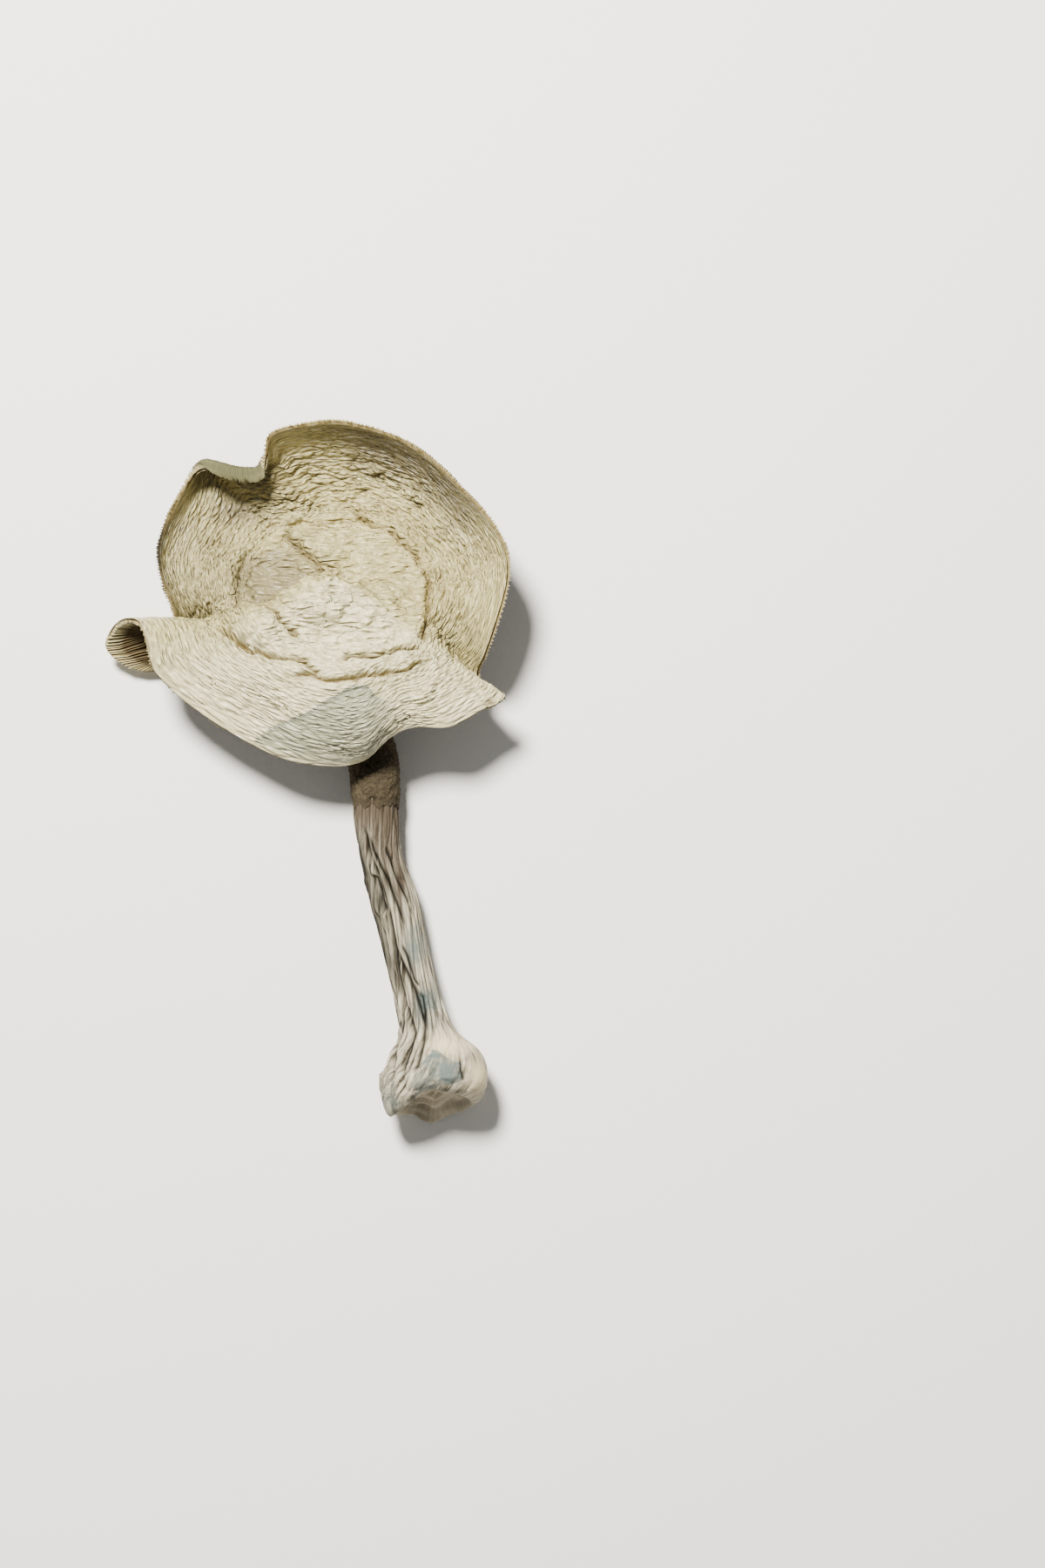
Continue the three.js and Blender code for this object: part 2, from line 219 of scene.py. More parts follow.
def read_tile(field, x, y):
    """Bilinear value of a repeating tile at x, y in mm."""
    u, v = x / CELL, y / CELL
    i, j = np.floor(u).astype(int), np.floor(v).astype(int)
    a, b = u - i, v - j
    i0, i1, j0, j1 = i % TILE[0], (i + 1) % TILE[0], j % TILE[1], (j + 1) % TILE[1]
    return ((1 - a) * (1 - b) * field[i0, j0] + a * (1 - b) * field[i1, j0]
            + (1 - a) * b * field[i0, j1] + a * b * field[i1, j1])


def swell(field, width=0.5):
    """0 in the narrow clefts where the folds change sign, towards 1 on their rounded backs."""
    return 1 - np.exp(-np.abs(field) / width)


def to_line(points, x, y):
    """Distance from x, y to a line through points, and on which side: +1 is its left."""
    best = np.full(x.shape, 1e9)
    side = np.zeros(x.shape)
    share = np.zeros(x.shape)
    for k, (a, b) in enumerate(zip(points[:-1], points[1:])):
        dx, dy = b[0] - a[0], b[1] - a[1]
        t = np.clip(((x - a[0]) * dx + (y - a[1]) * dy) / (dx * dx + dy * dy), 0, 1)
        px, py = x - a[0] - t * dx, y - a[1] - t * dy
        distance = np.hypot(px, py)
        near = distance < best
        best = np.where(near, distance, best)
        side = np.where(near, np.sign(dx * py - dy * px), side)
        share = np.where(near, (k + t) / (len(points) - 1), share)
    return best, side, share


TILE = (1024, 512)
CELL = 0.2
ROUND_MM = TILE[0] * CELL        # the way once round the cap on the tile
WALL_MM = 30.0                   # the way from the disc's edge to the rim on the tile

# Creases on the disc: line, width, depth, lift on its left and right, reach of the lift, tan stain.
CREASES = [
    ([(-4.6, 42), (-2.9, 40.6), (-1, 38.8), (0.4, 37.1), (2.4, 36.2), (3.9, 33.9)],
     0.35, 0.9, 0.9, -0.3, 4, 0.5),
    ([(-5.2, 29.6), (-3.9, 30.4), (-1, 31.4), (1.9, 33.2), (3.9, 34), (6.2, 33.8), (7.6, 32.6)],
     0.4, 0.9, -0.9, 1.2, 4.5, 0.8),
    ([(-5.6, 32.4), (-3.9, 30.6)], 0.35, 0.5, 0, 0, 2, 0.4),
    ([(-9, 28.5), (-7.3, 27.3), (-5, 26.5), (-3.9, 24.8), (-2.2, 23.9), (-0.7, 23)],
     0.4, 1.0, 0.5, 0.5, 3, 0.6),
    ([(-14.2, 25.3), (-13.4, 23.6), (-11.3, 22.2), (-9.3, 20.7), (-7.3, 20.7), (-5.9, 20.3), (-4.2, 19.4),
      (-2.2, 19.4), (0.1, 19.2), (1.9, 19.3)], 0.4, 1.0, 0.3, 0.4, 2.5, 1.0),
    ([(-0.4, 19.2), (1.9, 17.6), (3, 16.7)], 0.35, 0.8, 0.2, 0.2, 2, 0.8),
    ([(6.8, 19.4), (9, 20), (13.4, 20), (16.2, 20.9), (20.2, 21.3)], 0.4, 1.2, 0.4, 0.4, 2.5, 0.9),
    ([(-0.8, 24.9), (4, 25.1), (6.3, 24.8), (7.3, 26.3)], 0.35, 0.4, 0.5, -0.2, 2.5, 0.3),
    ([(7.6, 45.7), (9.9, 44), (11.6, 42.5), (14.2, 41.7), (16.2, 39.4), (18.8, 37.7), (20.5, 35.7)],
     0.5, 0.9, 0.5, 0.2, 2.5, 1.0),
    ([(20.9, 35.4), (21.1, 34.3), (21.4, 30.2), (21.1, 25.6), (20.2, 21.9)], 0.8, 0.7, 0.3, 0.4, 2, 0.6),
    ([(-3.9, 41.4), (-1, 43.1), (3, 43.2), (6.2, 43.7), (8.2, 43.5), (9.9, 44)], 0.4, 0.5, 0.4, 0.1, 2, 0.5),
    ([(-10.6, 38.4), (-11.3, 35.4), (-12, 32), (-11.9, 29.1), (-12.2, 27)], 0.5, 0.5, 0.1, 0.3, 2.5, 0.1),
    ([(-2.4, 16.4), (1.2, 16.5), (4.3, 15.7), (9.5, 16.3), (12.7, 16.9), (16, 17.3), (19, 18.6),
      (21.7, 19.2)], 0.4, 0.8, 0.3, 0.3, 2, 0.9),
]
CREASE_DEPTH, CREASE_LIFT = 1.4, 1.8        # mm for a depth or a lift of 1 in the list
MOUNDS = [  # x, y, half width, half length, height
    (6.5, 28.3, 10.5, 4.3, 3.3), (-8.3, 24.8, 4.6, 3.0, 2.6), (9, 38.6, 9.5, 4.5, 1.9),
    (-6.5, 34, 5, 4.5, -2.2),
]


def disc_relief(x, y):
    """Height of the mounds and creases on the disc, how tan it is there, and the dark lines of painted shade
    along the creases.
    """
    height, tan, lines = np.zeros(x.shape), np.zeros(x.shape), np.zeros(x.shape)
    for cx, cy, half_x, half_y, rise in MOUNDS:
        height += rise * np.exp(-(((x - cx) / half_x)**4 + ((y - cy) / half_y)**4))
    for points, width, depth, left, right, reach, stain in CREASES:
        distance, side, share = to_line(points, x, y)
        ends = smooth(0, 0.12, share) * (1 - smooth(0.88, 1, share)) * 0.75 + 0.25
        height -= CREASE_DEPTH * depth * ends * np.exp(-(distance / width)**1.5)
        lift = CREASE_LIFT * np.where(side > 0, left, right)
        shoulder = np.exp(-((distance - 0.6 * width) / reach)**2) * smooth(0, 1.2 * width, distance)
        height += lift * ends * shoulder
        tan = np.maximum(tan, stain * ends * (0.75 * np.exp(-(distance / (0.5 * width))**2)
                                            + 0.22 * np.exp(-(distance / (3 * width))**2)))
        lines = np.maximum(lines, min(depth, 1) * ends * np.exp(-(distance / (0.55 * width))**2))
    return height, tan, lines


def lay_grid(name, columns, rows):
    """A flat sheet of columns by rows cells, ready to be shaped."""
    bpy.ops.object.select_all(action="DESELECT")
    bpy.ops.mesh.primitive_grid_add(x_subdivisions=columns, y_subdivisions=rows, calc_uvs=True)
    sheet = bpy.context.object
    sheet.name = name
    return sheet


def shape_grid(sheet, points, flow, marks):
    """Moves a grid's vertices to points in mm and writes its flow map, mm, and its marks."""
    mesh = sheet.data
    places = (points.reshape(-1, 3) + SHIFT) * MM
    mesh.vertices.foreach_set("co", places.astype(np.float32).ravel())
    corners = np.zeros(len(mesh.loops), int)
    mesh.loops.foreach_get("vertex_index", corners)
    layer = mesh.uv_layers[0]
    layer.name = "flow"
    layer.uv.foreach_set("vector", flow.reshape(-1, 2)[corners].astype(np.float32).ravel())
    for name, values in marks.items():
        mark = mesh.attributes.new(name, "FLOAT", "POINT")
        spread = np.broadcast_to(values, points.shape[:2])
        mark.data.foreach_set("value", spread.astype(np.float32).ravel())
    mesh.update()


def weld(sheets, name):
    """Joins sheets along their shared edges into one closed piece with its faces outwards."""
    bpy.ops.object.select_all(action="DESELECT")
    for sheet in sheets:
        sheet.select_set(True)
    bpy.context.view_layer.objects.active = sheets[0]
    if len(sheets) > 1:
        bpy.ops.object.join()
    piece = bpy.context.object
    piece.name = name
    piece.data.name = name
    bpy.ops.object.mode_set(mode="EDIT")
    bpy.ops.mesh.select_all(action="SELECT")
    bpy.ops.mesh.remove_doubles(threshold=2e-7)
    bpy.ops.mesh.normals_make_consistent(inside=False)
    bpy.ops.object.mode_set(mode="OBJECT")
    bpy.ops.object.shade_smooth()
    return piece


# The bruise on the front sheet, from its sharp upper left edge round.
BRUISE = [(-8.9, 4.6), (-7.8, 6.2), (-5.5, 8), (-2, 9.4), (1, 10.6), (4.5, 12.8), (8.5, 14.8), (11, 15),
          (12.5, 13.2), (19, 11), (19, 5), (12, 0), (5, -2), (-2, -1), (-8.9, 4.6)]
BRUISE_EDGE = 9                   # so many of its points make the sharp edge
PIT = (31.6, 12)                  # a small hole near the right tip, drawn only as a dark spot of painted shade
folds_long = crumple(11, 5.0, 2.2)
folds_mid = crumple(12, 2.6, 2.4)
folds_small = crumple(13, 1.5, 2.2)
maze = crumple(14, 3.2, 1.8)
slow = drift(15, 16)
slow_too = drift(16, 12)
patchy = drift(17, 5)


def cap_flesh(out):
    """Thickness of the flesh in mm."""
    body = FLESH_WALL + (FLESH_DISC - FLESH_WALL) * (1 - smooth(0.3, 0.72, out))
    return body + (FLESH_RIM - FLESH_WALL) * smooth(0.94, 1, out)


def inside(outline, x, y):
    """True inside a closed outline."""
    odd = np.zeros(x.shape, bool)
    for a, b in zip(outline[:-1], outline[1:]):
        crosses = (a[1] > y) != (b[1] > y)
        odd ^= crosses & (x < (b[0] - a[0]) * (y - a[1]) / (b[1] - a[1] + 1e-9) + a[0])
    return odd


def spot(x, y, middle_x, middle_y, reach_x, reach_y):
    """1 at a place, fading to 0 around it."""
    return np.exp(-((x - middle_x) / reach_x)**2 - ((y - middle_y) / reach_y)**2)


def painted_shade_parts(x, y, turned, out, relief, near_disc):
    """Painted shade: how much darker and greyer the skin is painted where shade falls, high on the walls,
    under the folded margin and in the hollows.
    """
    back_wall = 1.4 * smooth(5, 35, turned) * (1 - smooth(62, 92, turned)) * smooth(0.55, 0.85, out)
    under_fold = smooth(98, 106, turned) * (1 - smooth(128, 140, turned)) * smooth(0.5, 0.8, out)
    left_wall = 0.5 * smooth(130, 150, turned) * (1 - smooth(180, 190, turned)) * smooth(0.36, 0.6, out)
    hollows = smooth(0, -1.6, relief) * near_disc
    shade = np.maximum.reduce([back_wall, under_fold, left_wall, hollows, spot(x, y, -9, 34, 6, 5),
                               1.3 * spot(x, y, -12, 45.5, 6, 3)])
    return 0.62 * shade


def cap_surface(growth, out):
    """The wrinkled skin: points in mm, flow map and marks, for growth and out given as grids."""
    base = skin_point(growth, out)
    normal = skin_normal(growth, out)
    x, y = base[..., 0], base[..., 1]
    turned = np.mod(growth, 360)
    wall = smooth(0.38, 0.46, out)
    flat = 1 - wall
    near_disc = 1 - smooth(0.5, 0.78, out)
    front = smooth(222, 240, turned) * (1 - smooth(322, 338, turned))
    around = growth / 360 * ROUND_MM
    upward = (out - DISC_SHARE) / (1 - DISC_SHARE) * WALL_MM

    # The bruise, its darker edge, and the dark stretch of the rim on the left.
    bruise = inside(BRUISE, x, y) * front * (1 - smooth(12, 18, x))
    bruise_edge = to_line(BRUISE[:BRUISE_EDGE], x, y)[0]
    blackened = smooth(148, 153, turned) * (1 - smooth(166, 171, turned)) * smooth(0.95, 0.99, out)
    bruise_mark = np.maximum(bruise * (0.62 + 0.36 * np.exp(-bruise_edge / 0.5)), blackened)

    # Mounds and creases on the disc; their lines waver a little.
    waver_x = x + 0.35 * read_tile(patchy, x * 3, y * 3)
    waver_y = y + 0.35 * read_tile(patchy, x * 3 + 40, y * 3)
    relief, tan, creases = disc_relief(waver_x, waver_y)

    # Folds on the wall run round the cap, in three sizes; calmer on the bruise and near the top.
    strength = np.clip(0.85 + 0.5 * read_tile(patchy, around + 40, upward + 9), 0.25, 1.6)
    strength = strength * (1 - 0.5 * bruise) * (1 - 0.05 * front)
    calm_top = 1 - 0.7 * smooth(0.62, 0.9, out) * (1 - front)
    crumpled = smooth(0.4, 0.46, out) * (1 - smooth(0.62, 0.78, out))
    crumpled = crumpled * (0.5 + 0.5 * np.cos(np.radians(growth - 40)))
    wobble = 2.2 * read_tile(slow, around, upward) + 0.8 * read_tile(patchy, around, upward)
    along = around + 1.5 * read_tile(slow_too, around, upward)
    long_fold = read_tile(folds_long, along, upward + wobble)
    mid_fold = read_tile(folds_mid, along + 9, upward + wobble)
    small_fold = read_tile(folds_small, along + 31, upward + 0.8 * wobble)
    wall_height = calm_top * strength * (
        0.22 * long_fold * (1 - 0.5 * front) + (0.5 + 0.55 * crumpled) * (swell(mid_fold) - 0.6)
        + 0.34 * (swell(small_fold) - 0.6))

    # Wrinkles on the disc run across it, deepest on the lower mound.
    drag_x = x + 1.2 * read_tile(slow, x + 60, y) + 0.5 * read_tile(patchy, x, y)
    drag_y = y + 1.2 * read_tile(slow_too, x + 60, y) + 0.5 * read_tile(patchy, x + 30, y)
    knots = read_tile(maze, drag_x, drag_y)
    lines = read_tile(folds_small, drag_x + 50, drag_y)
    lower_mound = spot(x, y, 6, 28.5, 11, 5)
    disc_height = (0.3 + 0.3 * lower_mound) * (swell(knots) - 0.6) + 0.4 * (swell(lines) - 0.6)

    wrinkled = np.maximum(wall * wall_height + flat * disc_height, -0.6 * cap_flesh(out))
    wrinkled = wrinkled * (1 - 0.85 * smooth(0.94, 1, out))
    height = np.maximum(relief * near_disc + wrinkled, -DEEPEST * cap_flesh(out))
    points = base + normal * height[..., None]

    # Painted shade: the clefts between the folds, the crease lines and the pit are painted darker through the
    # cleft mark.
    wall_cleft_shade = np.maximum(0.7 * np.exp(-np.abs(mid_fold) / 0.22), 0.6 * np.exp(-np.abs(small_fold) / 0.3))
    disc_cleft_shade = np.maximum(0.4 * np.exp(-np.abs(knots) / 0.2), 0.4 * np.exp(-np.abs(lines) / 0.3))
    cleft = strength * (0.75 * wall * calm_top * wall_cleft_shade + flat * disc_cleft_shade)
    pit = np.exp(-((x - PIT[0])**2 + (y - PIT[1])**2) / 0.7)
    cleft = np.maximum.reduce([cleft, 1.5 * pit, 0.9 * creases * near_disc])
    flow = np.stack([around, upward], -1) * MM
    # The front sheet is painted lighter through its mark: painted light.
    marks = {"cleft": cleft, "tan": tan * near_disc, "wall": wall, "out": out, "bruise": bruise_mark,
             "shade": painted_shade_parts(x, y, turned, out, relief, near_disc), "calm": front * wall, "front_light": front}
    return points, flow, marks


# The disc is a square mesh pulled round, so that its cells stay even.
side_cells = COLUMNS // 4
line = np.linspace(-1, 1, side_cells + 1)
square_x, square_y = np.meshgrid(line, line)
reach = np.maximum(np.abs(square_x), np.abs(square_y))
steep = np.abs(square_y) > np.abs(square_x)
safe_x = np.where(square_x == 0, 1, square_x)
safe_y = np.where(square_y == 0, 1, square_y)
turn = np.where(steep, 90 - 45 * square_x / safe_y, 45 * square_y / safe_x)
turn = np.where(np.where(steep, square_y, square_x) < 0, turn + 180, turn)
disc_sheet = lay_grid("cap_disc", side_cells, side_cells)
shape_grid(disc_sheet, *cap_surface(np.mod(turn - SEAM, 360) + SEAM, reach * DISC_SHARE))

growth_line = SEAM + np.linspace(0, 360, COLUMNS + 1)
wall_out = DISC_SHARE + (1 - DISC_SHARE) * np.linspace(0, 1, WALL_ROWS + 1)
wall_growth, wall_out = np.meshgrid(growth_line, wall_out)
wall_sheet = lay_grid("cap_wall", COLUMNS, WALL_ROWS)
wall_points, wall_flow, wall_marks = cap_surface(wall_growth, wall_out)
wall_points[:, -1] = wall_points[:, 0]
shape_grid(wall_sheet, wall_points, wall_flow, wall_marks)

under_out = 1 - np.linspace(0, 1, UNDER_ROWS + 1)
under_growth, under_out = np.meshgrid(growth_line, under_out)
under_sheet = lay_grid("cap_under", COLUMNS, UNDER_ROWS)
under = skin_point(under_growth, under_out)
under -= skin_normal(under_growth, under_out) * cap_flesh(under_out)[..., None]
under[0] = wall_points[-1]
under[:, -1] = under[:, 0]
under[-1] = under[-1].mean(0)
under_flow = np.stack([under_growth / 360 * ROUND_MM, (1 - under_out) * WALL_MM], -1) * MM
# The underside is painted a little darker through the cleft mark: painted shade.
shape_grid(under_sheet, under, under_flow, {
    "cleft": 0.3, "tan": 0, "wall": 1, "out": 1, "bruise": 0, "shade": 0, "calm": 0, "front_light": 0})
cap = weld([disc_sheet, wall_sheet, under_sheet], "cap_skin_and_flesh")

# Dried mushroom skin: a satin, leathery film; light on the ridges, tan in the creases, with painted shade in
# the clefts, crease lines and cells' edges, on the walls, under the fold and in the hollows, and painted
# light on the front sheet. The fine wrinkles are 1.1 mm cells drawn out across the disc and round the wall,
# with a 0.6 mm grain.
skin_material, tree = new_material("dried mushroom skin")
place = add_node(tree, "ShaderNodeTexCoord")
flow_map = add_node(tree, "ShaderNodeUVMap", {"uv_map": "flow"})
mark = {}
for name in ("cleft", "tan", "wall", "bruise", "shade", "calm", "front_light", "out"):
    mark[name] = add_node(tree, "ShaderNodeAttribute", {"attribute_name": name}).outputs["Fac"]
mottle = add_node(tree, "ShaderNodeTexNoise", {"Scale": 1 / 0.006, "Detail": 4, "Roughness": 0.6},
                  {"Vector": place.outputs["Object"]})
cream = add_node(tree, "ShaderNodeMix", {"data_type": "RGBA", 6: linear("#cfc592"), 7: linear("#aca06a")},
                 {0: mottle.outputs["Fac"]})
wall_way = add_node(tree, "ShaderNodeMapping", {"Scale": (0.36, 1, 1)}, {"Vector": flow_map.outputs["UV"]})
disc_way = add_node(tree, "ShaderNodeMapping", {"Scale": (0.3, 1, 0.6)}, {"Vector": place.outputs["Object"]})
facets, grains = [], []
for way in (disc_way.outputs["Vector"], wall_way.outputs["Vector"]):
    wander = add_node(tree, "ShaderNodeTexNoise", {"Scale": 1 / 0.002, "Detail": 2}, {"Vector": way})
    bent = add_node(tree, "ShaderNodeVectorMath", {"operation": "MULTIPLY_ADD", 1: (0.001, 0.001, 0.001)},
                    {0: wander.outputs["Color"], 2: way})
    cells = add_node(tree, "ShaderNodeTexVoronoi", {"feature": "DISTANCE_TO_EDGE", "Scale": 1 / 0.0011},
                     {"Vector": bent.outputs["Vector"]})
    grain = add_node(tree, "ShaderNodeTexNoise", {"Scale": 1 / 0.0006, "Detail": 3, "Roughness": 0.6},
                     {"Vector": way})
    facets.append(cells.outputs["Distance"])
    grains.append(grain.outputs["Fac"])
facet = add_node(tree, "ShaderNodeMix", {"data_type": "FLOAT"}, {0: mark["wall"], 2: facets[0], 3: facets[1]})
grain = add_node(tree, "ShaderNodeMix", {"data_type": "FLOAT"}, {0: mark["wall"], 2: grains[0], 3: grains[1]})
folded = add_node(tree, "ShaderNodeMapRange", {"From Max": 0.35, "interpolation_type": "SMOOTHSTEP"},
                  {"Value": facet.outputs[0]})
# Painted shade: the cells' edges are painted darker, as fine creases in shade.
crease_edge_shade = add_node(tree, "ShaderNodeMapRange", {"From Max": 0.12, "To Min": 0.32, "To Max": 0},
                   {"Value": facet.outputs[0]})
dark = add_node(tree, "ShaderNodeMath", {"operation": "ADD", "use_clamp": True},
                {0: mark["cleft"], 1: crease_edge_shade.outputs["Result"]})
front_light_share = add_node(tree, "ShaderNodeMath", {"operation": "MULTIPLY", 1: 0.7}, {0: mark["front_light"]})
at_rim = add_node(tree, "ShaderNodeMapRange", {"From Min": 0.96, "From Max": 0.995, "To Max": 0.7},
                  {"Value": mark["out"]})
skin_colour = cream.outputs[2]
# Tints in order: painted light on the front sheet, painted shade in the clefts and cells' edges, painted
# shade on the walls, under the fold and in the hollows, the tan stain in the creases, the bruise, the rim's
# band.
for amount, tint in (
        (front_light_share.outputs["Value"], "#e6dfb8"), (dark.outputs["Value"], "#5f5438"),
        (mark["shade"], "#585040"), (mark["tan"], "#76653a"), (mark["bruise"], "#5f685c"),
        (at_rim.outputs["Result"], "#b5aa84")):
    tinted = add_node(tree, "ShaderNodeMix", {"data_type": "RGBA", 7: linear(tint)},
                      {0: amount, 6: skin_colour})
    skin_colour = tinted.outputs[2]
fold_strength = add_node(tree, "ShaderNodeMapRange", {"To Min": 1, "To Max": 0.7},
                         {"Value": mark["calm"]})
fold_bump = add_node(tree, "ShaderNodeBump", {"Distance": 0.00045},
                     {"Height": folded.outputs["Result"], "Strength": fold_strength.outputs["Result"]})
bump = add_node(tree, "ShaderNodeBump", {"Strength": 0.7, "Distance": 0.0002},
                {"Height": grain.outputs[0], "Normal": fold_bump.outputs["Normal"]})
shader = add_node(tree, "ShaderNodeBsdfPrincipled", {"Roughness": 0.38, "Specular IOR Level": 0.4},
                  {"Base Color": skin_colour, "Normal": bump.outputs["Normal"]})
add_node(tree, "ShaderNodeOutputMaterial", links={"Surface": shader.outputs["BSDF"]})
cap.data.materials.append(skin_material)
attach(cap, "root")
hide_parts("cap")

# ---- Gills ----------------------------------------------------------------------------------
# Thin plates hanging side by side from the flesh, grown as one layer; every second one is short.
# Brown with spore dust inside, pale along their edges; their ends stand out as a comb at the rim.
GILLS = 480
GILL_PHASES = np.array([0, 0.27, 0.42, 0.58, 0.73])      # groove, foot, plate, plate, foot
GILL_HEIGHTS = np.array([0.08, 0.22, 1, 1, 0.22])        # as shares of the plate's depth
GILL_ROWS = 20
GILL_INNER = 0.3                                         # where they start, on the way to the rim
GILL_SHALLOWEST = 0.15                                   # depth of a plate, mm
GILL_DEEPEST = 1.6
GILL_AT_RIM = 0.45
GILL_LENGTH = 50                                         # mm from the middle to the rim, on the flow map
TOOTH = 0.55                                             # mm that a plate stands out past the rim
TOOTH_ROOT = 0.35                                        # share of the flesh's edge in a tooth's place

gill_random = np.random.RandomState(21)
plate_size = gill_random.uniform(0.75, 1.0, GILLS)
tooth_size = gill_random.uniform(0.0, 1.3, GILLS)**1.5 * TOOTH
shove = np.concatenate([gill_random.uniform(-0.3, 0.3, GILLS), [0]]) * 360 / GILLS
starts = np.where(np.arange(GILLS) % 4 == 0, 0.0, np.where(np.arange(GILLS) % 4 == 2, 0.45, 0.62))
phase = np.tile(GILL_HEIGHTS, GILLS)
plate = np.repeat(np.arange(GILLS), len(GILL_PHASES))
line_growth = (plate + np.tile(GILL_PHASES, GILLS)) * 360 / GILLS
line_growth = np.append(line_growth, 360.0)
phase = np.append(phase, phase[0])
plate = np.append(plate, 0)
shove[-1] = shove[0]
line_growth = line_growth + shove[plate]


def folded_over(growth):
    """1 where the margin is folded back over the dish."""
    return smooth(98, 104, growth) * (1 - smooth(128, 134, growth))


def gill_rows(outs, upper):
    """Points and marks of one face of the gill layer: the plates' side or the side against the flesh."""
    growth, out = np.meshgrid(line_growth, outs)
    around = growth / 360 * ROUND_MM
    upward = out * GILL_LENGTH
    sway = 1.6 * read_tile(patchy, around, upward) * smooth(0.3, 0.7, out) * (1 - smooth(0.93, 1, out))
    growth = np.mod(growth + sway, 360)
    flesh = cap_flesh(out)
    if upper:
        depth = flesh + 0.03
        edge = np.zeros(out.shape)
    else:
        full = GILL_SHALLOWEST + (GILL_DEEPEST - GILL_SHALLOWEST) * smooth(GILL_INNER, 0.5, out)
        full = full + (GILL_AT_RIM - full) * smooth(0.7, 1, out)
        full = full * (1 - 0.7 * folded_over(growth) * (1 - smooth(0.95, 1, out)))
        grown = 0.15 + 0.85 * smooth(starts[plate], starts[plate] + 0.12, out)
        edge = phase * plate_size[plate] * grown
        depth = flesh + 0.05 + full * edge
    points = skin_point(growth, out) - skin_normal(growth, out) * depth[..., None]
    points[:, -1] = points[:, 0]
    flow = np.stack([around, upward], -1) * MM
    return points, flow, edge, out


below, below_flow, below_edge, below_out = gill_rows(np.linspace(GILL_INNER, 1, GILL_ROWS), False)
above, above_flow, above_edge, above_out = gill_rows(np.linspace(1, GILL_INNER, 6), True)
outward = unit(below[-1] - below[-2])
tips = below[-1] + outward * (phase * tooth_size[plate])[:, None]
tips = TOOTH_ROOT * above[0] + (1 - TOOTH_ROOT) * tips
gill_points = np.concatenate([below, tips[None], above, below[:1]])
gill_flow = np.concatenate([below_flow, below_flow[-1:], above_flow, below_flow[:1]])
gill_edge = np.concatenate([below_edge, below_edge[-1:], above_edge, below_edge[:1]])
gill_out = np.concatenate([below_out, below_out[-1:], above_out, below_out[:1]])
gill_sheet = lay_grid("gill_sheet", gill_points.shape[1] - 1, gill_points.shape[0] - 1)
flap_mark = folded_over(np.mod(line_growth, 360))[None, :] * smooth(0.7, 0.86, gill_out)
blackened = smooth(142, 154, line_growth) * (1 - smooth(162, 174, line_growth))
stain_mark = 0.9 * blackened[None, :] * smooth(0.72, 0.97, gill_out)
shape_grid(gill_sheet, gill_points, gill_flow, {
    "edge": gill_edge, "out": gill_out, "flap": flap_mark, "stain": stain_mark})
gills = weld([gill_sheet], "gill_plates")

# Dried gill tissue: matt, papery; spore dust darkens the grooves in 3 mm clouds, the plates' edges
# stay pale. Greenish where the margin is folded over, blackened along the rim on the left.
gill_material, tree = new_material("dried gill tissue")
place = add_node(tree, "ShaderNodeTexCoord")
edge = add_node(tree, "ShaderNodeAttribute", {"attribute_name": "edge"})
out = add_node(tree, "ShaderNodeAttribute", {"attribute_name": "out"})
flap = add_node(tree, "ShaderNodeAttribute", {"attribute_name": "flap"})
stain = add_node(tree, "ShaderNodeAttribute", {"attribute_name": "stain"})
dust = add_node(tree, "ShaderNodeTexNoise", {"Scale": 1 / 0.003, "Detail": 4},
                {"Vector": place.outputs["Object"]})
brown = add_node(tree, "ShaderNodeMix", {"data_type": "RGBA", 6: linear("#30271a"), 7: linear("#4d412c")},
                 {0: dust.outputs["Fac"]})
edged = add_node(tree, "ShaderNodeMix", {"data_type": "RGBA", 7: linear("#5f5238")},
                 {0: edge.outputs["Fac"], 6: brown.outputs[2]})
rim_share = add_node(tree, "ShaderNodeMapRange", {"From Min": 0.945, "From Max": 0.985, "To Max": 0.9},
                     {"Value": out.outputs["Fac"]})
comb = add_node(tree, "ShaderNodeMix", {"data_type": "RGBA", 6: linear("#8a7c54"), 7: linear("#c9bf96")},
                {0: edge.outputs["Fac"]})
rimmed = add_node(tree, "ShaderNodeMix", {"data_type": "RGBA"},
                  {0: rim_share.outputs["Result"], 6: edged.outputs[2], 7: comb.outputs[2]})
faded_share = add_node(tree, "ShaderNodeMath", {"operation": "MULTIPLY", 1: 0.8}, {0: flap.outputs["Fac"]})
faded = add_node(tree, "ShaderNodeMix", {"data_type": "RGBA", 7: linear("#5b5c42")},
                 {0: faded_share.outputs["Value"], 6: rimmed.outputs[2]})
stained = add_node(tree, "ShaderNodeMix", {"data_type": "RGBA", 7: linear("#1a1a18")},
                   {0: stain.outputs["Fac"], 6: faded.outputs[2]})
bump = add_node(tree, "ShaderNodeBump", {"Strength": 0.4, "Distance": 0.0001},
                {"Height": dust.outputs["Fac"]})
shader = add_node(tree, "ShaderNodeBsdfPrincipled", {"Roughness": 0.8, "Specular IOR Level": 0.1},
                  {"Base Color": stained.outputs[2], "Normal": bump.outputs["Normal"]})
add_node(tree, "ShaderNodeOutputMaterial", links={"Surface": shader.outputs["BSDF"]})
gills.data.materials.append(gill_material)
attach(gills, "root")
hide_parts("gills")

